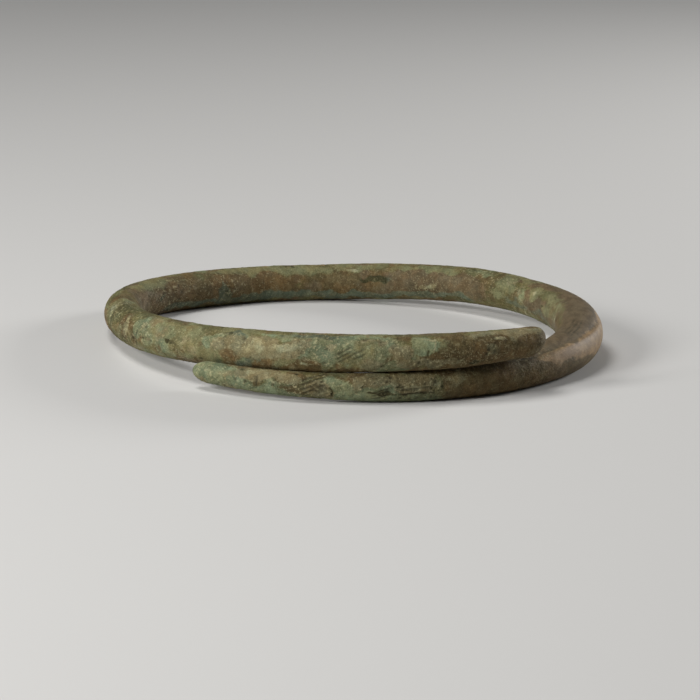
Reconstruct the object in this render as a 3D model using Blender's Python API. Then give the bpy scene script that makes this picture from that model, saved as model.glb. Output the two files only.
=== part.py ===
"""Bronze bracelet: one round bar, tapered to both ends and wound so that the ends lie one above the other.

The bar starts at the front left, close to the ground, runs once round anticlockwise as seen from above, and
ends at the front right on top of its own first stretch. Angles are in degrees from the front, so the right
side is at 90, the back at 180, the left at 270 and the second pass of the front at 360.
"""
import math

import bmesh
import bpy

MM = 0.001

# Bar
BAR_RADIUS = 2.9 * MM
RIGHT_SWELL = 0.7 * MM
RIGHT_SWELL_AT = 88.0
RIGHT_SWELL_SPREAD = 45.0
LOWER_TIP_RADIUS = 1.45 * MM
LOWER_TAPER_FROM = 62.0
LOWER_ROUNDING = 3.0 * MM
UPPER_TIP_RADIUS = 2.35 * MM
UPPER_TAPER_FROM = 337.0
UPPER_TAPER_POWER = 1.2
UPPER_ROUNDING = 3.5 * MM
UPPER_UNDERCUT = 0.6

# Winding, seen from above
COIL_RADIUS = 35.2 * MM
LOWER_TIP_AT = -35.2
UPPER_TIP_AT = 407.0
LOWER_FLARE = 4.2 * MM
LOWER_FLARE_FROM = 59.0
UPPER_FLARE = 2.9 * MM
UPPER_FLARE_FROM = 287.0
UPPER_FLARE_POWER = 1.2
LEFT_BULGE = 1.4 * MM
LEFT_BULGE_AT = 247.0
LEFT_BULGE_SPREAD = 34.0
LEFT_DENT = 0.8 * MM
LEFT_DENT_AT = 300.0
LEFT_DENT_SPREAD = 50.0

# Winding, seen from the side
TIP_LIFT = 1.3 * MM
TIP_LIFT_FROM = 36.0
BACK_LIFT = 1.65 * MM
BACK_LIFT_AT = 135.0
BACK_LIFT_SPREAD = 64.0
CLIMB_FROM = 232.0
STRAND_GAP = 0.1 * MM
WORN_DEPTH = 0.12 * MM

# Facets
RING_SPACING = 2.2 * MM
ROUNDING_RINGS = 7
BEVEL_RESOLUTION = 6
WELD_DISTANCE = 0.001 * MM
SHARP_ANGLE = math.radians(40.0)


def share(angle, start, end):
    """How far an angle is on its way from start to end, from 0 to 1."""
    return min(max((angle - start) / (end - start), 0.0), 1.0)


def eased(done):
    """The same share with an easy start and an easy end."""
    return done * done * (3.0 - 2.0 * done)


def swell(angle, centre, spread):
    """A smooth hump, 1 at its centre and 0 from one spread away on either side."""
    offset = min(abs(angle - centre) / spread, 1.0)
    return math.cos(0.5 * math.pi * offset) ** 2


def bar_radius(angle):
    """Radius of the bar, before its ends are rounded: thickest on the right, thinner towards both tips."""
    thicker = RIGHT_SWELL * swell(angle, RIGHT_SWELL_AT, RIGHT_SWELL_SPREAD)
    lower = share(angle, LOWER_TAPER_FROM, LOWER_TIP_AT)
    upper = share(angle, UPPER_TAPER_FROM, UPPER_TIP_AT) ** UPPER_TAPER_POWER
    thinner = (BAR_RADIUS - LOWER_TIP_RADIUS) * lower + (BAR_RADIUS - UPPER_TIP_RADIUS) * upper
    return BAR_RADIUS + thicker - thinner


def coil_radius(angle):
    """Distance of the bar's middle from the axis: a circle, opened at both ends and uneven on the left."""
    flare = LOWER_FLARE * eased(share(angle, LOWER_FLARE_FROM, LOWER_TIP_AT))
    flare += UPPER_FLARE * share(angle, UPPER_FLARE_FROM, UPPER_TIP_AT) ** UPPER_FLARE_POWER
    uneven = LEFT_BULGE * swell(angle, LEFT_BULGE_AT, LEFT_BULGE_SPREAD)
    uneven -= LEFT_DENT * swell(angle, LEFT_DENT_AT, LEFT_DENT_SPREAD)
    return COIL_RADIUS + flare + uneven


def resting_height(angle):
    """Height of the bar's middle without the climb: it lies on the ground, but rises at its tip and its back."""
    tip = TIP_LIFT * share(angle, TIP_LIFT_FROM, LOWER_TIP_AT) ** 2
    back = BACK_LIFT * swell(angle, BACK_LIFT_AT, BACK_LIFT_SPREAD)
    return bar_radius(angle) - WORN_DEPTH + tip + back


def climb_share(angle):
    """Share of the climb that is done."""
    return eased(share(angle, CLIMB_FROM, UPPER_TIP_AT))


def climb_height():
    """Least climb that keeps the second pass clear of the first by the gap, all along the overlap."""
    least = 0.0
    overlap = range(math.ceil(LOWER_TIP_AT), math.floor(UPPER_TIP_AT - 360.0))
    for angle in overlap:
        above = angle + 360.0
        reach = bar_radius(angle) + bar_radius(above) + STRAND_GAP
        sideways = coil_radius(angle) - coil_radius(above)
        upright = math.sqrt(max(reach * reach - sideways * sideways, 0.0))
        needed = resting_height(angle) + upright - resting_height(above)
        least = max(least, needed / climb_share(above))
    return least


def fullness(angle, tip_at, rounding):
    """Share of the radius left near a tip, which is rounded off as a quarter ellipse."""
    from_tip = math.radians(abs(angle - tip_at)) * coil_radius(tip_at)
    missing = 1.0 - min(from_tip / rounding, 1.0)
    return math.sqrt(1.0 - missing * missing)


def ring_angles():
    """Where the rings sit: evenly along the bar, and closer together round each tip."""
    lower_turn = math.degrees(LOWER_ROUNDING / coil_radius(LOWER_TIP_AT))
    upper_turn = math.degrees(UPPER_ROUNDING / coil_radius(UPPER_TIP_AT))
    start = LOWER_TIP_AT + lower_turn
    end = UPPER_TIP_AT - upper_turn
    count = math.ceil(math.radians(end - start) * COIL_RADIUS / RING_SPACING)
    quarter = [math.cos(0.5 * math.pi * step / ROUNDING_RINGS) for step in range(1, ROUNDING_RINGS)]
    lower_tip = [start - lower_turn * back for back in quarter]
    middle = [start + (end - start) * step / count for step in range(count + 1)]
    upper_tip = [end + upper_turn * onward for onward in reversed(quarter)]
    return lower_tip + middle + upper_tip


def wound_bar(collection):
    """The bar as a tube along its winding; the upper tip is rounded off more below than above."""
    climb = climb_height()
    angles = ring_angles()
    curve = bpy.data.curves.new("bar_path", "CURVE")
    curve.dimensions = "3D"
    curve.twist_mode = "Z_UP"
    curve.bevel_depth = BAR_RADIUS
    curve.bevel_resolution = BEVEL_RESOLUTION
    curve.use_fill_caps = True
    spline = curve.splines.new("POLY")
    spline.points.add(len(angles) - 1)
    for point, angle in zip(spline.points, angles):
        lower = fullness(angle, LOWER_TIP_AT, LOWER_ROUNDING)
        upper = fullness(angle, UPPER_TIP_AT, UPPER_ROUNDING)
        turn = math.radians(angle)
        out = coil_radius(angle)
        height = resting_height(angle) + climb * climb_share(angle)
        height += UPPER_UNDERCUT * bar_radius(angle) * (1.0 - upper)
        point.co = (out * math.sin(turn), -out * math.cos(turn), height, 1.0)
        point.radius = bar_radius(angle) * lower * upper / BAR_RADIUS
    path = bpy.data.objects.new("bar_path", curve)
    collection.objects.link(path)
    return path


def solid_from_curve(path, name, collection):
    """A closed mesh object in place of a tube, with its end caps welded on and its box centred on the axis."""
    bpy.context.view_layer.update()
    evaluated = path.evaluated_get(bpy.context.evaluated_depsgraph_get())
    mesh = bpy.data.meshes.new_from_object(evaluated)
    mesh.name = name
    shape = bmesh.new()
    shape.from_mesh(mesh)
    bmesh.ops.remove_doubles(shape, verts=shape.verts, dist=WELD_DISTANCE)
    bmesh.ops.recalc_face_normals(shape, faces=shape.faces)
    shape.to_mesh(mesh)
    shape.free()
    solid = bpy.data.objects.new(name, mesh)
    solid.matrix_world = path.matrix_world
    for axis in range(2):
        reach = [vertex.co[axis] for vertex in mesh.vertices]
        solid.location[axis] -= 0.5 * (min(reach) + max(reach))
    collection.objects.link(solid)
    bpy.data.objects.remove(path)
    return solid


def ground_cutter(collection):
    """A block with its top at the ground, which wears the underside flat where the bar dips into it."""
    size = 4.0 * COIL_RADIUS
    bpy.ops.mesh.primitive_cube_add(size=size, location=(0.0, 0.0, -0.5 * size))
    block = bpy.context.object
    block.name = "ground_cutter"
    block.hide_render = True
    block.display_type = "WIRE"
    for home in list(block.users_collection):
        home.objects.unlink(block)
    collection.objects.link(block)
    return block


def patinated_bronze():
    """Buried bronze: matt, crusted, between olive green and brown."""
    material = bpy.data.materials.new("patinated_bronze")
    material.use_nodes = True
    shader = material.node_tree.nodes["Principled BSDF"]
    shader.inputs["Base Color"].default_value = (0.24, 0.22, 0.13, 1.0)
    shader.inputs["Roughness"].default_value = 0.75
    shader.inputs["Metallic"].default_value = 0.1
    return material


def new_collection(name):
    """A collection of its own in the scene."""
    collection = bpy.data.collections.new(name)
    bpy.context.scene.collection.children.link(collection)
    return collection


def make_bracelet():
    """The whole bracelet, one solid lying on the ground plane."""
    for old in list(bpy.data.objects):
        bpy.data.objects.remove(old)
    parts = new_collection("snake_bracelet")
    cutters = new_collection("cutters")
    bracelet = solid_from_curve(wound_bar(parts), "bracelet", parts)
    worn = bracelet.modifiers.new("worn_underside", "BOOLEAN")
    worn.operation = "DIFFERENCE"
    worn.solver = "EXACT"
    worn.object = ground_cutter(cutters)
    bracelet.data.materials.clear()
    bracelet.data.materials.append(patinated_bronze())
    bracelet.data.shade_smooth()
    bracelet.data.set_sharp_from_angle(angle=SHARP_ANGLE)


make_bracelet()
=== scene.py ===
import math

import bpy
import numpy as np
from mathutils import Matrix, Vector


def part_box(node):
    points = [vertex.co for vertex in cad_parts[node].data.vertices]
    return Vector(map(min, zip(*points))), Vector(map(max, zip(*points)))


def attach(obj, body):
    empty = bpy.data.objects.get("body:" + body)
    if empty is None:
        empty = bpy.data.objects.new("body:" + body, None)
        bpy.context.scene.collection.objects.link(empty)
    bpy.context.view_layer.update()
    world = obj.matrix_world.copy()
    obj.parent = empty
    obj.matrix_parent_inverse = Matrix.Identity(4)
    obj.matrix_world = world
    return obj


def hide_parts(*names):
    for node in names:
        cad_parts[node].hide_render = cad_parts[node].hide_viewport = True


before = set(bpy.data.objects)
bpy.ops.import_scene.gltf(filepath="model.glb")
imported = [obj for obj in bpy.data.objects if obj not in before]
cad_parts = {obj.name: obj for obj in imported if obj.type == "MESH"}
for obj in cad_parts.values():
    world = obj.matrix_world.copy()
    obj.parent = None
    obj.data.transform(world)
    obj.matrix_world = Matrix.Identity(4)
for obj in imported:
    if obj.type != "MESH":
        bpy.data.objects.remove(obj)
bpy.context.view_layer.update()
print("frame loaded")

mm = 0.001


# the bar: angles in degrees from the front, anticlockwise from above; lengths in metres
bracelet = {
    "barRadius": 2.9 * mm,
    "rightSwell": 0.7 * mm,
    "rightSwellAt": 88.0,
    "rightSwellSpread": 45.0,
    "lowerTipRadius": 1.45 * mm,
    "lowerTaperFrom": 62.0,
    "lowerRounding": 3.0 * mm,
    "upperTipRadius": 2.35 * mm,
    "upperTaperFrom": 337.0,
    "upperTaperPower": 1.2,
    "upperRounding": 3.5 * mm,
    "upperUndercut": 0.45,
    "upperBluntness": 2.8,
    "coilRadius": 35.2 * mm,
    "lowerTipAt": -35.2,
    "upperTipAt": 407.0,
    "lowerFlare": 4.2 * mm,
    "lowerFlareFrom": 59.0,
    "upperFlare": 2.9 * mm,
    "upperFlareFrom": 287.0,
    "upperFlarePower": 1.2,
    "leftBulge": 1.4 * mm,
    "leftBulgeAt": 247.0,
    "leftBulgeSpread": 34.0,
    "leftDent": 0.8 * mm,
    "leftDentAt": 300.0,
    "leftDentSpread": 50.0,
    "tipLift": 1.3 * mm,
    "tipLiftFrom": 36.0,
    "backLift": 1.65 * mm,
    "backLiftAt": 135.0,
    "backLiftSpread": 64.0,
    "climbFrom": 232.0,
    "strandGap": 0.1 * mm,
    "wornDepth": 0.12 * mm,
    "rings": 1080,
    "frontDetail": 0.35,
    "tipRings": 18,
    "sides": 88,
}


def share(angle, start, end):
    # how far an angle is on its way from start to end, 0 to 1
    return np.clip((angle - start) / (end - start), 0.0, 1.0)


def eased(t):
    # 3t squared less 2t cubed
    return t * t * (3.0 - 2.0 * t)


def swell(angle, centre, spread):
    # a smooth hump: squared cosine, 1 at the centre and 0 one spread away
    return np.cos(0.5 * np.pi * np.minimum(np.abs(angle - centre) / spread, 1.0)) ** 2


def barRadius(angle):
    # full radius and the swell on the right, less what each tip is thinner by
    b = bracelet
    thicker = b["rightSwell"] * swell(angle, b["rightSwellAt"], b["rightSwellSpread"])
    lower = share(angle, b["lowerTaperFrom"], b["lowerTipAt"])
    upper = share(angle, b["upperTaperFrom"], b["upperTipAt"]) ** b["upperTaperPower"]
    thinner = (b["barRadius"] - b["lowerTipRadius"]) * lower
    thinner = thinner + (b["barRadius"] - b["upperTipRadius"]) * upper
    return b["barRadius"] + thicker - thinner


def coilRadius(angle):
    # a circle, opened towards both tips, with a bulge and a dent on the left
    b = bracelet
    flare = b["lowerFlare"] * eased(share(angle, b["lowerFlareFrom"], b["lowerTipAt"]))
    upper = share(angle, b["upperFlareFrom"], b["upperTipAt"]) ** b["upperFlarePower"]
    flare = flare + b["upperFlare"] * upper
    flare = flare + b["leftBulge"] * swell(angle, b["leftBulgeAt"], b["leftBulgeSpread"])
    return b["coilRadius"] + flare - b["leftDent"] * swell(angle, b["leftDentAt"], b["leftDentSpread"])


def restingHeight(angle):
    # the bar's middle when it lies on the ground, with a lift at the lower tip and at the back
    b = bracelet
    tip = b["tipLift"] * share(angle, b["tipLiftFrom"], b["lowerTipAt"]) ** 2
    back = b["backLift"] * swell(angle, b["backLiftAt"], b["backLiftSpread"])
    return barRadius(angle) - b["wornDepth"] + tip + back


def climbShare(angle):
    return eased(share(angle, bracelet["climbFrom"], bracelet["upperTipAt"]))


def climbHeight():
    # the least climb that keeps the second pass clear of the first, over whole degrees of the overlap
    b = bracelet
    low = np.arange(math.ceil(b["lowerTipAt"]), math.floor(b["upperTipAt"] - 360.0), dtype=float)
    high = low + 360.0
    reach = barRadius(low) + barRadius(high) + b["strandGap"]
    sideways = coilRadius(low) - coilRadius(high)
    upright = np.sqrt(np.maximum(reach**2 - sideways**2, 0.0))
    return np.max((restingHeight(low) + upright - restingHeight(high)) / climbShare(high))


def fullness(angle, tipAt, rounding, power=2.0):
    # share of the radius left near a tip: a quarter ellipse, or a squarer curve of the same length
    fromTip = np.radians(np.abs(angle - tipAt)) * coilRadius(np.float64(tipAt))
    missing = 1.0 - np.minimum(fromTip / rounding, 1.0)
    return (1.0 - missing**power) ** (1.0 / power)


def ringAngles():
    # steps along the bar, closer together in front by a cosine of the angle; cosine steps round each tip
    b = bracelet
    lowerTurn = math.degrees(b["lowerRounding"] / coilRadius(np.float64(b["lowerTipAt"])))
    upperTurn = math.degrees(b["upperRounding"] / coilRadius(np.float64(b["upperTipAt"])))
    start = b["lowerTipAt"] + lowerTurn
    end = b["upperTipAt"] - upperTurn
    quarter = np.cos(0.5 * np.pi * np.arange(1, b["tipRings"]) / b["tipRings"])
    trial = np.linspace(start, end, 4000)
    count = np.cumsum(1.0 + b["frontDetail"] * np.cos(np.radians(trial)))
    middle = np.interp(np.linspace(count[0], count[-1], b["rings"]), count, trial)
    return np.concatenate([start - lowerTurn * quarter, middle, end + upperTurn * quarter[::-1]])


def centreLine(angle, undercut):
    # x = R sin a, y = -R cos a, z = resting height + climb, raised a little in the upper tip's rounding
    b = bracelet
    turn = np.radians(angle)
    out = coilRadius(angle)
    z = restingHeight(angle) + climbHeight() * climbShare(angle)
    missing = 1.0 - fullness(angle, b["upperTipAt"], b["upperRounding"])
    z = z + undercut * b["upperUndercut"] * barRadius(angle) * missing
    return np.stack([out * np.sin(turn), -out * np.cos(turn), z], -1)


along = ringAngles()
around = np.arange(bracelet["sides"]) * 360.0 / bracelet["sides"] - 90.0
A, B = np.meshgrid(along, around, indexing="ij")
turnB = np.radians(B)

middle = centreLine(along, 1.0)
smallStep = 0.02  # degrees either way, for the bar's direction
ahead = centreLine(along + smallStep, 0.0) - centreLine(along - smallStep, 0.0)
ahead /= np.linalg.norm(ahead, axis=1, keepdims=True)
outward = np.stack([ahead[:, 1], -ahead[:, 0], 0.0 * along], -1)
outward /= np.linalg.norm(outward, axis=1, keepdims=True)
upward = np.cross(outward, ahead)
radius = barRadius(along)
tipFull = fullness(along, bracelet["lowerTipAt"], bracelet["lowerRounding"])
upperFull = fullness(along, bracelet["upperTipAt"], bracelet["upperRounding"], bracelet["upperBluntness"])
tipFull = tipFull * upperFull

# a point of the skin: middle + radius (cos b outward + sin b upward)
normal = np.cos(turnB)[..., None] * outward[:, None] + np.sin(turnB)[..., None] * upward[:, None]
smooth = middle[:, None] + (radius * tipFull)[:, None, None] * normal
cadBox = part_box("bracelet")
cadMiddle = 0.5 * (np.array(cadBox[0]) + np.array(cadBox[1]))
shift = cadMiddle - 0.5 * (smooth.min((0, 1)) + smooth.max((0, 1)))
shift[2] = 0.0
steps = np.linalg.norm(np.diff(centreLine(along, 0.0), axis=0), axis=1)
length = np.concatenate([[0.0], np.cumsum(steps)])
print("bar laid out:", A.shape, "length", round(length[-1] / mm, 1), "mm")


# noise in the straightened bar: (length, r cos b, r sin b), in millimetres
# the length is squeezed by a fourth power of sin a, so spots grow longer along the bar at the two sides
sideStretch = 0.8
squeezed = np.diff(length) / (1.0 + sideStretch * np.sin(np.radians(along[1:])) ** 4)
straight = np.stack([
    np.broadcast_to(np.concatenate([[0.0], np.cumsum(squeezed)])[:, None], A.shape),
    radius[:, None] * np.cos(turnB),
    radius[:, None] * np.sin(turnB),
], -1).reshape(-1, 3) / mm


def softNoise(size, seed):
    # random numbers at the corners of a lattice, blended smoothly inside each cell; -1 to 1
    cells = straight / np.asarray(size, float)
    low = np.floor(cells)
    index = (low - low.min(0)).astype(int)
    part = cells - low
    part = part * part * (3.0 - 2.0 * part)
    lattice = np.random.default_rng(seed).uniform(-1.0, 1.0, index.max(0) + 2)
    total = 0.0
    for corner in np.ndindex(2, 2, 2):
        at = index + corner
        weight = np.prod(np.where(corner, part, 1.0 - part), axis=1)
        total = total + weight * lattice[at[:, 0], at[:, 1], at[:, 2]]
    return total.reshape(A.shape)


def roughNoise(size, octaves, seed):
    # soft noise added at halved sizes and 0.6 of the weight each time; about -1 to 1
    total, weight, weights = 0.0, 1.0, 0.0
    for octave in range(octaves):
        total = total + weight * softNoise(np.asarray(size, float) / 2**octave, seed + octave)
        weights += weight
        weight *= 0.6
    return 1.6 * total / weights


def scatter(size, kept, reach, seed):
    # a dot at a random place in each cell, in a kept share of the cells: 1 at its middle, 0 from its reach on
    cells = straight / size
    low = np.floor(cells)
    index = (low - low.min(0)).astype(int) + 1
    part = cells - low
    dice = np.random.default_rng(seed).uniform(0.0, 1.0, (*(index.max(0) + 2), 5))
    best = np.zeros(len(straight))
    for step in np.ndindex(3, 3, 3):
        move = np.array(step) - 1
        at = index + move
        drawn = dice[at[:, 0], at[:, 1], at[:, 2]]
        away = np.linalg.norm(part - move - drawn[:, :3], axis=1) * size
        dot = 1.0 - away / (reach * (0.45 + 0.55 * drawn[:, 4]))
        best = np.maximum(best, np.where(drawn[:, 3] < kept, dot, 0.0))
    return np.clip(best, 0.0, 1.0).reshape(A.shape)


def ease(value, low, high):
    return eased(np.clip((value - low) / (high - low), 0.0, 1.0))


# worn smooth: the right bend; each pair says between which angles the wear comes or goes
bend = {"comes": (46.0, 60.0), "goes": (96.0, 130.0), "upward": (-75.0, -30.0)}
polish = ease(A, *bend["comes"]) * (1.0 - ease(A, *bend["goes"])) * ease(B, *bend["upward"])

# how far the edges of crusts wander, in mm
warpAlong = 0.9 * roughNoise(2.4, 2, 11)
warpAround = 0.7 * roughNoise(2.0, 2, 21)


def offsets(angle, side, warp=1.0):
    # millimetres from a place on the bar, along it and round it, with a ragged warp
    alongMm = np.radians(A - angle) * coilRadius(np.float64(angle)) / mm
    turned = (B - side + 180.0) % 360.0 - 180.0
    aroundMm = np.radians(turned) * radius[:, None] / mm
    return alongMm + warp * warpAlong, aroundMm + warp * warpAround


def patches(places):
    # an oval at each place: full inside half of its size, half at its size, none from one and a half
    # where ovals overlap, the highest counts
    field = np.zeros(A.shape)
    for angle, side, halfLength, halfWidth, strength in places:
        alongMm, aroundMm = offsets(angle, side)
        oval = np.hypot(alongMm / halfLength, aroundMm / halfWidth)
        field = np.maximum(field, strength * np.clip(1.5 - oval, 0.0, 1.0))
    return field


# places where crusts are strewn thinly, besides the polished bend
calm = np.maximum(polish, patches([
    (397, 5, 9, 8, 1.0), (36, 5, 13, 7, 1.0), (386, -8, 7, 4, 0.8), (240, 178, 13, 3.5, 0.9),
    (215, 172, 9, 3, 0.9), (178, 175, 16, 3, 0.6), (152, 175, 11, 3.5, 0.8), (102, 100, 12, 5, 0.9),
    (252, 95, 10, 5, 0.8), (82, 80, 18, 5, 1.0), (0, -35, 9, 2.6, 0.8), (112, 160, 5, 4, 0.8),
]))
calm = np.clip(calm, 0.0, 1.0)

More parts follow.
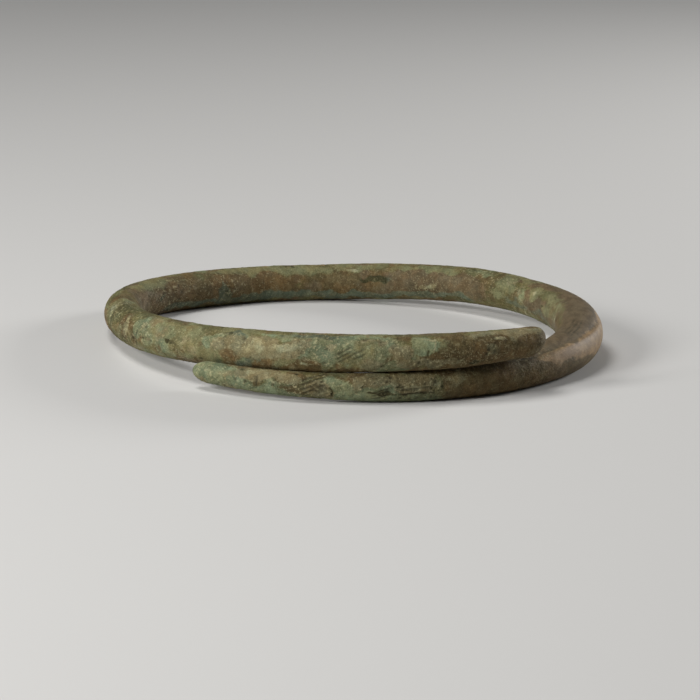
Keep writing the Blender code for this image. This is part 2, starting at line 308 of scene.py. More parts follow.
# the crusts, in the order they lie on the bar; a few places paint light and shade: the rose band and one tan
# band are painted highlights, two umber places are painted shade and one dark line is painted shadow
# colours: the lit and the dim one; size: of the noise that strews it elsewhere, in mm
# places: angle along, angle round, half length, half width, strength
# angle round: 0 outward, 90 top, 180 inward, -90 under
# spread: how quickly that noise turns into crust; level: how much noise it takes
# calmed: how much less of it lies on calm places; lift: thickness in mm
crusts_and_painted_light = {
    "umber_and_shade": {
        "colours": [(0.146, 0.105, 0.050), (0.094, 0.066, 0.030)],
        "places": [
            (175, 172, 38, 3.0, 0.70), (238, 178, 14, 3.6, 1.1), (120, 175, 9, 2.5, 0.55),
            (345, -40, 20, 1.8, 0.9), (386, -4, 7.5, 4.0, 1.0), (393, -25, 6.0, 3.0, 1.0),
            (402, 0, 7.0, 5.0, 1.1), (34, 12, 16, 5.0, 1.05), (52, -25, 12, 4.0, 0.9),
            (294, 20, 2.6, 2.6, 0.7), (276, 95, 5, 3, 0.5), (8, 75, 10, 1.2, 0.6),
            # the two places below, under the right bend, are painted shade on the bend's lower side
            (58, -32, 12, 3.0, 1.1), (82, -36, 14, 2.8, 1.1),
        ],
        "size": 5.0, "spread": 0.45, "level": 0.2, "lift": 0.0, "calmed": 0.1, "seed": 101,
    },
    "rust": {
        "colours": [(0.170, 0.118, 0.058), (0.118, 0.081, 0.040)],
        "places": [
            (240, 178, 5, 2.2, 1.0), (217, 170, 6, 2.4, 1.0), (204, 168, 5, 2.0, 0.9),
            (338, -12, 4.5, 1.5, 0.9), (344, -16, 4, 1.3, 0.75), (354, -14, 3.5, 1.2, 0.9),
            (361, -30, 5, 1.2, 0.7), (394, -14, 4.5, 1.4, 0.9), (389, 0, 4, 1.6, 0.8),
            (152, 178, 7, 1.8, 1.0), (331, -5, 3, 1.6, 0.6), (293, 22, 1.8, 2.0, 0.7),
        ],
        "size": 3.5, "spread": 0.4, "level": 0.45, "lift": 0.0, "calmed": 0.1, "seed": 131,
    },
    "clove": {
        "colours": [(0.152, 0.114, 0.068), (0.108, 0.080, 0.047)],
        "places": [
            (54, 88, 9, 3.0, 1.0), (72, 90, 9, 3.4, 1.0), (88, 88, 8, 3.6, 1.0), (100, 84, 7, 2.6, 0.85),
            (118, 100, 9, 1.4, 0.7), (244, 110, 8, 2.0, 0.6), (256, 140, 6, 2.6, 0.7),
            (157, 176, 12, 2.8, 0.9), (112, 172, 4, 1.6, 0.8), (118.5, 170, 2.8, 2.3, 1.0),
        ],
        "size": 4.0, "spread": 0.40, "level": 0.50, "lift": 0.0, "calmed": 0.1, "seed": 141,
    },
    # rose: worn pinkish bronze on the right bend, laid as a band just below the crease and painted brighter
    # there as a highlight
    "rose_highlight": {
        "colours": [(0.332, 0.226, 0.122), (0.234, 0.156, 0.084)],
        "places": [
            (55, 38, 5, 0.85, 0.95), (63, 31, 7, 1.15, 1.0), (72, 21, 7, 1.75, 1.0), (81, 11, 7, 2.2, 1.0),
            (91, 3, 7, 2.5, 1.0), (101, 0, 7, 2.8, 0.72), (110, 38, 9, 2.4, 0.50), (116, 10, 8, 2.6, 0.42),
        ],
        "size": 4.0, "spread": 0.3, "level": 0.8, "lift": 0.01, "calmed": 0.5, "seed": 151,
    },
    "khaki": {
        "colours": [(0.203, 0.193, 0.103), (0.151, 0.143, 0.076)],
        "places": [
            (310, 25, 6, 3.0, 0.75), (319, 25, 4.5, 2.4, 0.85), (325, -15, 4, 1.6, 0.7),
            (362, 25, 5.5, 2.8, 0.85), (371, 5, 3.0, 2.4, 0.75), (132, 145, 2.6, 2.2, 0.72),
            (118, 138, 2.0, 1.4, 0.95), (104, 152, 5.0, 3.2, 0.64), (160, 122, 8, 1.1, 0.7),
            (205, 115, 14, 1.3, 0.7), (245, 120, 8, 2.0, 0.7), (277, 60, 3.5, 3.4, 0.8),
            (18, 5, 2.4, 2.6, 0.8), (378, 40, 2.5, 1.6, 0.6), (185, 120, 10, 1.3, 0.6),
        ],
        "size": 2.8, "spread": 0.45, "level": 0.3, "lift": 0.03, "calmed": 0.85, "seed": 171,
    },
    "mint": {
        "colours": [(0.226, 0.254, 0.160), (0.154, 0.176, 0.107)],
        "places": [
            (-32, 8, 5.0, 4.0, 1.0), (-26, -4, 3.5, 2.0, 0.8), (-18, -46, 5.5, 1.2, 0.8),
            (-11, 34, 2.4, 1.2, 0.55), (-2, -20, 3.6, 2.2, 1.1), (4, -38, 5.5, 2.1, 1.15),
            (9, -50, 6.0, 1.7, 1.1), (9, -12, 1.6, 1.2, 0.7), (15, -46, 4.0, 1.3, 0.85),
            (302, 24, 1.8, 2.4, 0.9),
            (329, 26, 2.2, 1.5, 0.9), (336, 40, 1.6, 1.4, 0.75), (354, 28, 4.2, 2.3, 1.1),
            (362, 62, 4.5, 0.9, 0.8), (367, 18, 2.6, 1.8, 0.6), (369, -38, 3.4, 1.0, 0.9),
            (376, 30, 1.7, 1.5, 1.3), (123.5, 158, 1.3, 1.7, 0.58), (141, 112, 2.2, 1.0, 0.6),
            (306, -5, 2.5, 2.0, 0.55), (346, 62, 6, 0.9, 0.6),
        ],
        "size": 2.6, "spread": 0.4, "level": 0.6, "lift": 0.03, "calmed": 0.97, "seed": 191,
    },
    "blue": {
        "colours": [(0.138, 0.158, 0.112), (0.096, 0.110, 0.078)],
        "places": [
            (220, -179, 0.9, 1.5, 1.2), (218, -158, 1.2, 1.2, 0.8), (228, -150, 8, 0.8, 0.75),
            (205, -146, 12, 0.9, 0.85), (183, -143, 14, 0.9, 0.8), (160, -143, 12, 0.8, 0.7),
            (126, -158, 5, 0.9, 0.64), (114, -162, 4, 0.9, 0.54), (334, 55, 2.0, 0.8, 0.7),
            (352, 66, 5, 0.6, 0.75), (172, 158, 2.6, 0.8, 0.6), (373, -34, 3, 0.7, 0.55),
        ],
        "size": 3.2, "spread": 0.35, "level": 0.75, "lift": 0.0, "calmed": 0.95, "seed": 211,
    },
    "tan_and_highlight": {
        "colours": [(0.240, 0.213, 0.130), (0.188, 0.160, 0.093)],
        "places": [
            (337, 22, 3.2, 1.7, 0.9), (342, 18, 3.8, 1.7, 0.9), (347, 20, 2.8, 1.6, 0.9),
            (331, 18, 1.6, 1.4, 0.75), (-20, 44, 4.5, 1.2, 0.95), (-14, 42, 3.0, 1.1, 0.8),
            (-6.4, -16, 1.9, 1.2, 1.15), (4, 36, 2.8, 1.5, 1.0), (13, 30, 4.5, 1.7, 0.95),
            (376, -30, 5.0, 0.9, 0.85), (371, 10, 2.0, 1.6, 0.75), (364, -20, 2.0, 1.4, 0.7),
            (295, 18, 1.3, 2.0, 0.52), (312, 20, 2.5, 2.0, 0.5), (391, -5, 2.2, 0.9, 0.6),
            # the first place below, a long thin band on top of the upper tip, is a painted highlight along
            # that top edge
            (396, 66, 8.0, 1.0, 0.8), (158, -172, 2.0, 0.7, 0.7), (123, -175, 2.5, 1.2, 0.5),
            (24, 30, 3.0, 1.4, 0.6),
        ],
        "size": 1.8, "spread": 0.45, "level": 0.62, "lift": 0.05, "calmed": 0.8, "seed": 231,
    },
    "pale": {
        "colours": [(0.332, 0.314, 0.204), (0.264, 0.246, 0.152)],
        "places": [
            (279, 50, 1.6, 1.0, 0.66), (339, 24, 2.0, 0.9, 0.64), (346.5, 22, 2.2, 0.9, 0.66),
            (364, 46, 1.2, 0.5, 0.85), (356, 34, 1.1, 0.7, 0.62), (350, 40, 0.9, 0.4, 0.66),
            (394, 34, 1.5, 0.5, 0.75), (377, 52, 1.1, 0.3, 0.8),
            (157.5, -172, 0.8, 0.35, 0.8), (329, 30, 0.8, 0.5, 0.6), (-21, 50, 0.9, 0.4, 0.65),
            (-15.5, -8, 0.7, 0.5, 0.65), (303, 40, 0.7, 1.0, 0.6), (296, 22, 0.6, 1.4, 0.6),
            (181, 128, 1.2, 0.35, 0.7), (117.5, 138, 0.9, 0.9, 0.7), (96, 174, 0.5, 0.9, 0.60),
            (19, 2, 0.7, 1.0, 0.6), (14, 10, 1.4, 0.4, 0.6), (366, -38, 1.0, 0.3, 0.6),
            (18.5, 11, 0.5, 0.35, 0.78), (16, -6, 0.35, 0.6, 0.72), (8, 20, 0.8, 0.3, 0.70),
            (383, -30, 0.9, 0.3, 0.72), (389, -20, 0.7, 0.35, 0.70), (13, 16, 0.7, 0.3, 0.66),
        ],
        "size": 1.1, "spread": 0.5, "level": 0.85, "lift": 0.05, "calmed": 0.7, "seed": 251,
    },
    "dark_and_shadow": {
        "colours": [(0.062, 0.060, 0.026), (0.038, 0.036, 0.016)],
        "places": [
            (174, 158, 2.5, 0.62, 0.85), (315.5, 9, 0.8, 0.35, 0.60), (317.2, 3, 0.5, 0.6, 0.52),
            (218, 172, 0.25, 1.8, 0.65), (242, 178, 0.7, 0.5, 0.7), (236, -172, 0.6, 0.5, 0.7),
            # the last place on the line below, a long thin line at 14 along and -14 round, is painted shadow
            # under the lower edge of the tan crust above it
            (5.5, -30, 1.5, 0.22, 0.75), (7.5, -22, 1.3, 0.18, 0.7), (14, -14, 2.4, 0.2, 0.8),
            (2.8, 8, 0.6, 0.3, 0.7), (-4, -16, 0.3, 0.9, 0.7), (366.5, -24, 0.4, 0.3, 0.7),
            (377.5, 5, 0.3, 1.0, 0.6), (396, -32, 1.2, 0.3, 0.7), (111, 165, 0.8, 0.5, 0.6),
            (10, 15, 1.3, 0.25, 0.72), (12, 3, 1.1, 0.22, 0.70), (16.5, 9, 0.35, 0.6, 0.66),
            (20, -5, 0.5, 0.45, 0.66), (17.5, -16, 0.35, 0.6, 0.64), (387, -38, 1.4, 0.22, 0.66),
        ],
        "size": 1.6, "spread": 0.5, "level": 0.85, "lift": -0.04, "calmed": 0.8, "seed": 271,
    },
}

# edge: field values between which a crust begins; ragged: noise added to the field of each place
# overlap: how much thinner the crusts below get; uneven: how much a crust's own thickness varies
laying = {"edge": (0.40, 0.62), "ragged": 0.22, "overlap": 0.5, "uneven": 0.5}

fields = {}
lift = np.zeros(A.shape)
for name, layer in crusts_and_painted_light.items():
    ragged = roughNoise(1.5, 3, layer["seed"])
    elsewhere = roughNoise(layer["size"], 3, layer["seed"] + 5)
    strewn = np.clip(0.5 + layer["spread"] * 1.6 * (elsewhere - layer["level"]), 0.0, 1.0)
    strewn = strewn * (1.0 - layer["calmed"] * calm)
    fields[name] = np.maximum(patches(layer["places"]) + laying["ragged"] * ragged, strewn)
    cover = ease(fields[name], *laying["edge"])
    thickness = layer["lift"] * cover * (1.0 + laying["uneven"] * ragged)
    lift = lift * (1.0 - laying["overlap"] * cover) + thickness
print("crusts laid:", ", ".join(crusts_and_painted_light))


# scratches and cracks; each group is a row of parallel lines
# at: angle along, angle round; tilt: degrees from the bar's own line; the rest in mm
# deep: a scratch is cut in by it, and a vein, where it is below zero, stands proud
scratches = [
    {"at": (-7.5, 22), "lines": 4, "long": 4.4, "apart": 0.62, "tilt": 24, "wide": 0.15, "deep": 0.10},
    {"at": (-6.5, 2), "lines": 3, "long": 2.2, "apart": 0.55, "tilt": -38, "wide": 0.13, "deep": 0.06},
    {"at": (359.0, 6), "lines": 3, "long": 2.6, "apart": 0.55, "tilt": 28, "wide": 0.15, "deep": 0.09},
    {"at": (362.0, 10), "lines": 2, "long": 2.2, "apart": 0.60, "tilt": 26, "wide": 0.13, "deep": 0.06},
    {"at": (6.5, -18), "lines": 3, "long": 3.0, "apart": 0.50, "tilt": 20, "wide": 0.13, "deep": 0.07},
    {"at": (13.5, -6), "lines": 2, "long": 5.0, "apart": 0.70, "tilt": 4, "wide": 0.14, "deep": 0.08},
    {"at": (-19.5, 5), "lines": 1, "long": 2.4, "apart": 1.0, "tilt": 84, "wide": 0.16, "deep": 0.09},
    {"at": (301.5, -5), "lines": 1, "long": 3.2, "apart": 1.0, "tilt": 70, "wide": 0.15, "deep": 0.08},
    {"at": (72, 85), "lines": 3, "long": 9.0, "apart": 0.60, "tilt": 4, "wide": 0.13, "deep": 0.05},
    {"at": (255, 60), "lines": 3, "long": 6.0, "apart": 0.80, "tilt": 12, "wide": 0.14, "deep": 0.06},
    {"at": (150, 10), "lines": 4, "long": 5.0, "apart": 0.70, "tilt": 30, "wide": 0.14, "deep": 0.07},
]
veins = [
    {"at": (378.2, 38), "lines": 1, "long": 3.6, "apart": 1.0, "tilt": 78, "wide": 0.20, "deep": -0.04},
    {"at": (334.6, -20), "lines": 1, "long": 3.0, "apart": 1.0, "tilt": 86, "wide": 0.15, "deep": -0.03},
    {"at": (17.2, 28), "lines": 1, "long": 2.4, "apart": 1.0, "tilt": 82, "wide": 0.15, "deep": -0.03},
    {"at": (365, -5), "lines": 2, "long": 1.8, "apart": 0.9, "tilt": 60, "wide": 0.12, "deep": -0.03},
]


def lineGroup(group):
    # distance across each tilted line through a bell curve, faded at the line's ends
    alongMm, aroundMm = offsets(*group["at"], warp=0.16)
    tilt = math.radians(group["tilt"])
    onward = alongMm * math.cos(tilt) + aroundMm * math.sin(tilt)
    across = aroundMm * math.cos(tilt) - alongMm * math.sin(tilt)
    mark = np.zeros(A.shape)
    for line in range(group["lines"]):
        place = (line - 0.5 * (group["lines"] - 1)) * group["apart"]
        bell = np.exp(-(((across - place) / group["wide"]) ** 2))
        slid = onward - 0.35 * place
        ends = 1.0 - ease(np.abs(slid), 0.32 * group["long"], 0.5 * group["long"])
        mark = np.maximum(mark, bell * ends)
    return mark


veinStrength = 0.68
scratched = np.zeros(A.shape)
cut = np.zeros(A.shape)
for group in scratches:
    mark = lineGroup(group)
    scratched = np.maximum(scratched, mark)
    cut = np.maximum(cut, group["deep"] * mark)
for group in veins:
    mark = lineGroup(group)
    fields["pale"] = np.maximum(fields["pale"], veinStrength * mark)
    lift = lift - group["deep"] * mark

# relief in millimetres; the pairs are angles between which a part of it comes or goes
relief = {
    "dents": 0.07, "dentSize": 10.0,
    "grain": 0.034, "grainSize": 0.9,
    "fine": 0.034, "fineSize": 0.5,
    "grainAll": 0.8, "grainZone": 0.7, "smoothed": 0.72,
    "pitDepth": 0.15, "crumbHeight": 0.11, "proud": 0.11,
    "streaks": 0.035, "meeting": 0.06,
    "facetDepth": 0.25, "facetComes": (44.0, 56.0), "facetGoes": (76.0, 100.0), "facetTop": (60.0, 100.0),
    "creaseAt": 52.0, "creaseFrom": 55.0, "creaseFall": 0.62, "creaseEdge": (-3.0, 8.0),
    "ridge": 0.05, "ridgeBelow": 9.0,
    "tipWear": 0.32, "tipWearComes": (383.0, 402.0),
    "roomShare": 0.42, "singleComes": (47.0, 56.0), "singleGoes": (316.0, 325.0), "singleRoom": 3.0,
    "gapShade": 0.42, "poleRise": 0.02,
}
rough = 1.0 - relief["smoothed"] * polish
zone = np.clip(patches([
    (354, 24, 4.0, 2.6, 1.0), (369, 5, 3.0, 2.0, 0.9), (378, -28, 7.0, 1.2, 1.0), (388, -15, 6.0, 1.6, 0.9),
    (393, 30, 2.0, 1.0, 0.9), (350, 30, 3.0, 1.6, 0.8), (-9, 0, 4.5, 2.0, 0.9), (-6.4, -16, 2.0, 1.3, 1.0),
    (4, 30, 3.0, 1.8, 1.0), (12, 22, 6.0, 2.4, 1.0), (18, 2, 2.6, 3.0, 1.0), (302, 25, 4.0, 3.0, 0.7),
    (316, 8, 3.0, 3.0, 0.6), (364, 44, 3.0, 0.8, 0.9), (216, 172, 6.0, 2.5, 0.7), (158, -172, 3.0, 1.5, 0.8),
    (-28, 0, 6.0, 3.0, 0.6), (281, 50, 4.0, 3.0, 0.9), (293, 18, 3.0, 3.0, 0.9), (332, 30, 5.0, 1.6, 0.6),
    (140, 120, 5.0, 1.6, 0.7), (240, 178, 6.0, 3.0, 0.8), (49, 55, 5.0, 0.9, 0.8), (56, -20, 5.0, 1.5, 0.5),
]), 0.0, 1.0)
pitZone = np.clip(0.25 + 0.5 * roughNoise(9.0, 2, 301) + 0.8 * zone, 0.0, 1.0) * rough
pits = np.maximum(scatter(1.2, 0.35, 0.50, 311), 0.85 * scatter(0.7, 0.35, 0.34, 321)) * pitZone
crumbZone = np.clip(0.16 + 0.5 * roughNoise(7.0, 2, 331) + 0.9 * zone, 0.0, 1.0) * rough
crumbs = np.maximum(scatter(1.0, 0.42, 0.42, 341), 0.85 * scatter(0.6, 0.42, 0.30, 351)) * crumbZone
streakZone = patches([(205, 178, 13, 3.2, 1.0), (186, -170, 9, 2.6, 0.8)])
streaks = softNoise((0.75, 2.6, 2.6), 361) * streakZone

# crust squeezed out where the two passes meet
meeting = patches([
    (-20, 118, 8, 1.6, 1.0), (-8, 108, 8, 1.6, 1.0), (4, 99, 8, 1.6, 1.0), (16, 88, 8, 1.6, 1.0),
    (340, -62, 8, 1.6, 1.0), (352, -72, 8, 1.6, 1.0), (364, -81, 8, 1.6, 1.0), (376, -92, 8, 1.6, 1.0),
])

# the crease of the right bend turns outward at a steady rate; the bar is flattened above it
fromCrease = B - relief["creaseAt"] + relief["creaseFall"] * np.maximum(A - relief["creaseFrom"], 0.0)
facetWindow = ease(A, *relief["facetComes"]) * (1.0 - ease(A, *relief["facetGoes"]))
facetSide = ease(fromCrease, *relief["creaseEdge"]) * (1.0 - ease(B, *relief["facetTop"]))
facet = relief["facetDepth"] * facetWindow * facetSide
ridge = np.exp(-(((fromCrease + relief["ridgeBelow"]) / relief["ridgeBelow"]) ** 2))
facet = facet - relief["ridge"] * facetWindow * ridge

# the upper tip is worn underneath
tipWear = relief["tipWear"] * ease(A, *relief["tipWearComes"]) * np.maximum(-np.sin(turnB), 0.0)

height = relief["grain"] * roughNoise(relief["grainSize"], 2, 411)
height = height + relief["fine"] * softNoise(relief["fineSize"], 421)
height = height * (relief["grainAll"] * rough + relief["grainZone"] * zone)
height = height + relief["dents"] * roughNoise(relief["dentSize"], 2, 401)
height = height + lift + relief["streaks"] * streaks + relief["meeting"] * np.minimum(meeting, 1.0)
height = height + relief["crumbHeight"] * ease(crumbs, 0.0, 0.7)
height = height - relief["pitDepth"] * ease(pits, 0.0, 0.8) - cut - facet - tipWear
height = np.where(height > 0.0, relief["proud"] * np.tanh(height / relief["proud"]), height)
height = height * np.minimum(1.0, 0.15 + tipFull[:, None])

# where the passes face each other, relief takes less than half of the room between them
# room: distance to the middle of the other pass, less its radius
otherPass = np.where(along < 180.0, along + 360.0, along - 360.0)
room = np.linalg.norm(smooth - centreLine(otherPass, 0.0)[:, None], axis=-1)
room = room - barRadius(otherPass)[:, None]
single = ease(A, *relief["singleComes"]) * (1.0 - ease(A, *relief["singleGoes"]))
height = np.minimum(height, relief["roomShare"] * room / mm + relief["singleRoom"] * single)

skin = smooth + height[..., None] * mm * normal + shift
skin[..., 2] = np.maximum(skin[..., 2], 0.0)
poles = np.stack([skin[0].mean(0), skin[-1].mean(0)])
poles[0] += -relief["poleRise"] * mm * ahead[0]
poles[1] += relief["poleRise"] * mm * ahead[-1]

# painted shade: the crumbly places are darkened between the crumbs; it joins the pits and scratches in the
# hollow field
paintedGapShade = relief["gapShade"] * zone * (1.0 - ease(crumbs, 0.0, 0.35))
fields["hollow"] = np.clip(ease(pits, 0.1, 0.7) + 0.8 * scratched + paintedGapShade, 0.0, 1.0)
fields["crumb"] = ease(crumbs, 0.15, 0.7)
fields["polish"] = polish
fields["zone"] = zone
fields["tone"] = 0.5 + 0.5 * roughNoise(2.2, 3, 431)
print("relief done: from", round(height.min(), 3), "to", round(height.max(), 3), "mm")


# mesh: one quad between neighbours, a fan at each tip
ringCount, sideCount = A.shape
ids = np.arange(ringCount * sideCount).reshape(ringCount, sideCount)
nextSide = np.roll(ids, -1, axis=1)
quads = np.stack([ids[:-1], ids[1:], nextSide[1:], nextSide[:-1]], -1).reshape(-1, 4)
lowPole = ringCount * sideCount
startFan = np.stack([np.full(sideCount, lowPole), ids[0], nextSide[0]], -1)
endFan = np.stack([np.full(sideCount, lowPole + 1), nextSide[-1], ids[-1]], -1)
mesh = bpy.data.meshes.new("bronze_bracelet")
points = np.concatenate([skin.reshape(-1, 3), poles])
mesh.from_pydata(points.tolist(), [], quads.tolist() + startFan.tolist() + endFan.tolist())
for name, field in fields.items():
    values = np.concatenate([field.ravel(), [field[0].mean(), field[-1].mean()]]).astype(np.float32)
    mesh.attributes.new(name, "FLOAT", "POINT").data.foreach_set("value", values)
layout = straight.reshape(*A.shape, 3)
layout = np.concatenate([straight, layout[:1].mean(1), layout[-1:].mean(1)]).astype(np.float32)
mesh.attributes.new("layout", "FLOAT_VECTOR", "POINT").data.foreach_set("vector", layout.ravel())
mesh.shade_smooth()
mesh.update()
ring = bpy.data.objects.new("bronze_bracelet", mesh)
bpy.context.scene.collection.objects.link(ring)
print("mesh:", len(mesh.vertices), "vertices,", 2 * len(quads) + 2 * sideCount, "triangles")


# patinated bronze
patina = {
    "base": [(0.0, (0.074, 0.066, 0.029)), (0.38, (0.110, 0.101, 0.046)), (0.62, (0.134, 0.125, 0.059)),
             (1.0, (0.168, 0.159, 0.080))],
    "hollowColour": (0.030, 0.025, 0.012),
    "crumbColour": (0.405, 0.364, 0.206),
    "warm": (1.08, 1.00, 0.82), "cool": (0.95, 1.01, 0.94),
    "grainDark": (0.76, 0.76, 0.74), "grainLight": (1.21, 1.21, 1.19),
    "crustShade": 0.92,
    # scales of the four noises, per mm
    "specks": 2.6, "blotches": 0.9, "dust": 5.2, "drift": 0.42,
    # noise values between which each look comes, and how strong it gets
    "litEdge": (0.38, 0.62), "hueEdge": (0.36, 0.64), "grainEdge": (0.30, 0.70), "roughEdge": (0.3, 0.7),
    "brightEdge": (0.55, 0.66), "brightMost": 0.55, "gapEdge": (0.42, 0.32), "gapMost": 0.5,
    "ragged": 0.42, "edge": 0.15,
    # away from the crumbly places, bright grains and gaps keep this much
    "brightElsewhere": 0.28, "gapElsewhere": 0.40,
    "crumbShare": 0.82, "hollowShare": 0.8,
    "roughness": (0.66, 0.88), "polished": 0.60, "calming": 0.70, "specular": 0.20,
    "bump": 0.00016, "bumpStrength": 0.7, "fineBump": 0.00006, "fineStrength": 0.6,
}


def addNode(tree, kind, **values):
    node = tree.nodes.new(kind)
    for key, value in values.items():
        if key in node.inputs:
            node.inputs[key].default_value = value
        else:
            setattr(node, key, value)
    return node


def noiseNode(tree, coordinates, scale, detail):
    node = addNode(tree, "ShaderNodeTexNoise", Scale=scale, Detail=detail, Roughness=0.6)
    tree.links.new(coordinates, node.inputs["Vector"])
    return node.outputs["Fac"]


def mathNode(tree, operation, first, second):
    node = addNode(tree, "ShaderNodeMath", operation=operation)
    for socket, value in zip(node.inputs, (first, second)):
        if isinstance(value, (int, float)):
            socket.default_value = value
        else:
            tree.links.new(value, socket)
    return node.outputs[0]


def rangeNode(tree, value, fromLow, fromHigh, toLow=0.0, toHigh=1.0):
    node = addNode(tree, "ShaderNodeMapRange", interpolation_type="SMOOTHSTEP")
    for key, number in zip(("From Min", "From Max", "To Min", "To Max"), (fromLow, fromHigh, toLow, toHigh)):
        node.inputs[key].default_value = number
    tree.links.new(value, node.inputs["Value"])
    return node.outputs["Result"]


def mixNode(tree, factor, first, second, blend="MIX"):
    node = addNode(tree, "ShaderNodeMix", data_type="RGBA", blend_type=blend)
    for socket, value in ((node.inputs[0], factor), (node.inputs[6], first), (node.inputs[7], second)):
        if isinstance(value, (int, float)):
            socket.default_value = value
        elif isinstance(value, tuple):
            socket.default_value = (*value, 1.0)
        else:
            tree.links.new(value, socket)
    return node.outputs[2]


def rampNode(tree, factor, stops):
    node = tree.nodes.new("ShaderNodeValToRGB")
    ramp = node.color_ramp
    for place, colour in stops[1:-1]:
        ramp.elements.new(place)
    for element, (place, colour) in zip(ramp.elements, stops):
        element.position = place
        element.color = (*colour, 1.0)
    tree.links.new(factor, node.inputs["Fac"])
    return node.outputs["Color"]


def fieldNode(tree, name):
    return addNode(tree, "ShaderNodeAttribute", attribute_name=name).outputs["Fac"]


def makePatina():
    material = bpy.data.materials.new("patinated_bronze_crust")
    material.use_nodes = True
    tree = material.node_tree
    shader = tree.nodes["Principled BSDF"]
    place = addNode(tree, "ShaderNodeAttribute", attribute_name="layout").outputs["Vector"]
    specks = noiseNode(tree, place, patina["specks"], 3.0)
    blotches = noiseNode(tree, place, patina["blotches"], 4.0)
    dust = noiseNode(tree, place, patina["dust"], 2.0)
    drift = noiseNode(tree, place, patina["drift"], 3.0)
    tone = mathNode(tree, "ADD", fieldNode(tree, "tone"), mathNode(tree, "SUBTRACT", specks, 0.5))
    colour = rampNode(tree, tone, patina["base"])
    shake = mathNode(tree, "MULTIPLY", mathNode(tree, "SUBTRACT", specks, 0.5), patina["ragged"])
    for name, layer in crusts_and_painted_light.items():
        field = mathNode(tree, "ADD", fieldNode(tree, name), shake)
        cover = rangeNode(tree, field, 0.5 - patina["edge"], 0.5 + patina["edge"])
        lit, dim = (tuple(patina["crustShade"] * part for part in own) for own in layer["colours"])
        own = mixNode(tree, rangeNode(tree, blotches, *patina["litEdge"]), lit, dim)
        colour = mixNode(tree, cover, colour, own)
    worn = mathNode(tree, "MULTIPLY", fieldNode(tree, "polish"), patina["calming"])
    coarseShare = mathNode(tree, "SUBTRACT", 1.0, worn)
    hue = mixNode(tree, rangeNode(tree, drift, *patina["hueEdge"]), patina["warm"], patina["cool"])
    colour = mixNode(tree, coarseShare, colour, hue, "MULTIPLY")

    # bright grains, then dark gaps, both strongest in the crumbly places
    bright = rangeNode(tree, specks, *patina["brightEdge"], 0.0, patina["brightMost"])
    bright = mathNode(tree, "MULTIPLY", bright, coarseShare)
    strength = mathNode(tree, "ADD", fieldNode(tree, "zone"), patina["brightElsewhere"])
    bright = mathNode(tree, "MULTIPLY", bright, strength)
    crumb = mathNode(tree, "MULTIPLY", fieldNode(tree, "crumb"), patina["crumbShare"])
    crumb = mathNode(tree, "MAXIMUM", crumb, bright)
    colour = mixNode(tree, crumb, colour, patina["crumbColour"])
    gap = rangeNode(tree, specks, *patina["gapEdge"], 0.0, patina["gapMost"])
    gap = mathNode(tree, "MULTIPLY", gap, coarseShare)
    strength = mathNode(tree, "ADD", fieldNode(tree, "zone"), patina["gapElsewhere"])
    gap = mathNode(tree, "MULTIPLY", gap, strength)
    hollow = mathNode(tree, "MULTIPLY", fieldNode(tree, "hollow"), patina["hollowShare"])
    hollow = mathNode(tree, "MAXIMUM", hollow, gap)
    colour = mixNode(tree, hollow, colour, patina["hollowColour"])
    stops = list(zip(patina["grainEdge"], (patina["grainDark"], patina["grainLight"])))
    colour = mixNode(tree, coarseShare, colour, rampNode(tree, dust, stops), "MULTIPLY")
    tree.links.new(colour, shader.inputs["Base Color"])

    roughness = rangeNode(tree, blotches, *patina["roughEdge"], *patina["roughness"])
    mixed = addNode(tree, "ShaderNodeMix", data_type="FLOAT")
    tree.links.new(fieldNode(tree, "polish"), mixed.inputs[0])
    tree.links.new(roughness, mixed.inputs[2])
    mixed.inputs[3].default_value = patina["polished"]
    tree.links.new(mixed.outputs[0], shader.inputs["Roughness"])
    shader.inputs["Metallic"].default_value = 0.0
    shader.inputs["Specular IOR Level"].default_value = patina["specular"]
    coarse = addNode(tree, "ShaderNodeBump", Distance=patina["bump"])
    strength = mathNode(tree, "MULTIPLY", coarseShare, patina["bumpStrength"])
    tree.links.new(strength, coarse.inputs["Strength"])
    tree.links.new(specks, coarse.inputs["Height"])
    fine = addNode(tree, "ShaderNodeBump", Distance=patina["fineBump"])
    strength = mathNode(tree, "MULTIPLY", coarseShare, patina["fineStrength"])
    tree.links.new(strength, fine.inputs["Strength"])
    tree.links.new(dust, fine.inputs["Height"])
    tree.links.new(coarse.outputs["Normal"], fine.inputs["Normal"])
    tree.links.new(fine.outputs["Normal"], shader.inputs["Normal"])
    return material


mesh.materials.append(makePatina())
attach(ring, "root")
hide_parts("bracelet")
print("patina done")


# floor, light and camera
studio = {
    "floorSize": 6.0,
    "floorDrop": 0.02 * mm,
    "floorColour": (0.60, 0.59, 0.57),
    "worldColour": (0.80, 0.82, 0.85),
    "worldStrength": 0.09,
    # azimuth from the front towards the right, elevation, distance, size, watts
    "key": (-50.0, 25.0, 0.60, 0.20, 2.9),
    "rim": (125.0, 16.0, 0.55, 0.14, 1.9),
    "top": (-80.0, 70.0, 0.60, 0.28, 1.7),
    "cameraAim": (-0.217 * mm, -2.287 * mm, 0.0),
    "cameraDistance": 0.550,
    "cameraElevation": 12.344,
    "cameraRoll": 2.122,
    "cameraLens": 183.857,
}


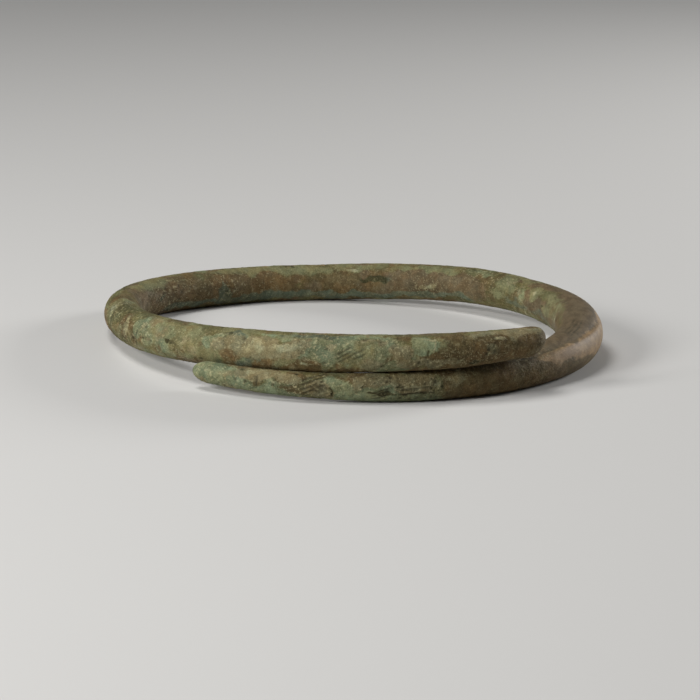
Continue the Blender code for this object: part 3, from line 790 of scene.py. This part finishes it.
def makeFloor():
    half, low = 0.5 * studio["floorSize"], -studio["floorDrop"]
    corners = [(-half, -half, low), (half, -half, low), (half, half, low), (-half, half, low)]
    sheet = bpy.data.meshes.new("studio_floor")
    sheet.from_pydata(corners, [], [(0, 1, 2, 3)])
    floor = bpy.data.objects.new("studio_floor", sheet)
    bpy.context.scene.collection.objects.link(floor)
    material = bpy.data.materials.new("pale_floor")
    material.use_nodes = True
    shader = material.node_tree.nodes["Principled BSDF"]
    shader.inputs["Base Color"].default_value = (*studio["floorColour"], 1.0)
    shader.inputs["Roughness"].default_value = 0.75
    shader.inputs["Specular IOR Level"].default_value = 0.2
    sheet.materials.append(material)


def makeLight(name):
    azimuth, elevation, distance, size, watts = studio[name]
    turn, rise = math.radians(azimuth), math.radians(elevation)
    away = np.array([math.sin(turn) * math.cos(rise), -math.cos(turn) * math.cos(rise), math.sin(rise)])
    lamp = bpy.data.lights.new(name + "_light", "AREA")
    lamp.shape = "DISK"
    lamp.size = size
    lamp.energy = watts
    light = bpy.data.objects.new(name + "_light", lamp)
    bpy.context.scene.collection.objects.link(light)
    light.location = away * distance
    light.rotation_mode = "QUATERNION"
    light.rotation_quaternion = light.location.to_track_quat("Z", "Y")


def makeCamera():
    rise, roll = math.radians(studio["cameraElevation"]), math.radians(studio["cameraRoll"])
    right = np.array([1.0, 0.0, 0.0])
    up = np.array([0.0, math.sin(rise), math.cos(rise)])
    back = np.array([0.0, -math.cos(rise), math.sin(rise)])
    turned = np.eye(4)
    turned[:3, 0] = math.cos(roll) * right + math.sin(roll) * up
    turned[:3, 1] = math.cos(roll) * up - math.sin(roll) * right
    turned[:3, 2] = back
    turned[:3, 3] = np.array(studio["cameraAim"]) + studio["cameraDistance"] * back
    lens = bpy.data.cameras.new("camera")
    lens.sensor_width = 36.0
    lens.lens = studio["cameraLens"]
    lens.clip_start = 0.02
    camera = bpy.data.objects.new("camera", lens)
    camera.matrix_world = Matrix(turned.tolist())
    bpy.context.scene.collection.objects.link(camera)
    bpy.context.scene.camera = camera


makeFloor()
for lampName in ("key", "rim", "top"):
    makeLight(lampName)
makeCamera()
world = bpy.data.worlds.new("studio")
world.use_nodes = True
world.node_tree.nodes["Background"].inputs["Color"].default_value = (*studio["worldColour"], 1.0)
world.node_tree.nodes["Background"].inputs["Strength"].default_value = studio["worldStrength"]
bpy.context.scene.world = world
bpy.context.scene.view_settings.view_transform = "Standard"
print("studio set")
